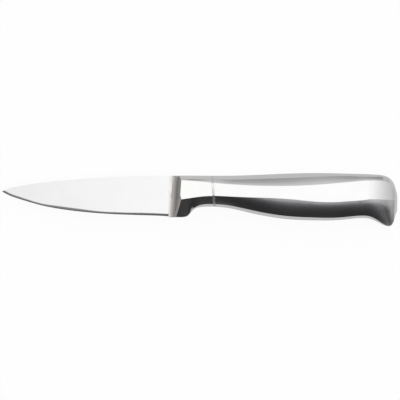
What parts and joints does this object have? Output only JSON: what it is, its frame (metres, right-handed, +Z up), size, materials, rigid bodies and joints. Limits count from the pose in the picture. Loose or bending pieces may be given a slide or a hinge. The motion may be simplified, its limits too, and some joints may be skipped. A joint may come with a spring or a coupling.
{
  "type": "paring knife",
  "caption": "All-steel paring knife with a pointed flat-ground blade, a solid bolster with a finger notch and a hollow faceted handle with a hooked butt.",
  "frame": {"origin": "centre of the bounding box at the surface the knife lies on, with the knife lying on its side", "axes": "+X from the blade towards the butt, +Y from the cutting edge towards the spine, +Z up through the thickness of the handle"},
  "size_m": [0.2093, 0.0282, 0.015],
  "materials": {
    "blade_steel": "fine satin grind running from spine to edge, polished cutting bevel",
    "bolster_steel": "soft satin polish",
    "handle_steel": "soft satin polish, grain along the handle",
    "weld_steel": "ground weld line, slightly darker",
    "weight_iron": "plain turned"
  },
  "bodies": {
    "root": {"blade": "blade_steel", "bolster": "bolster_steel", "tang_weld": "weld_steel", "neck_weld": "weld_steel", "handle_shell_left": "handle_steel", "handle_shell_right": "handle_steel", "seam_weld": "handle_steel", "balance_weight": "weight_iron"}
  },
  "joints": []
}
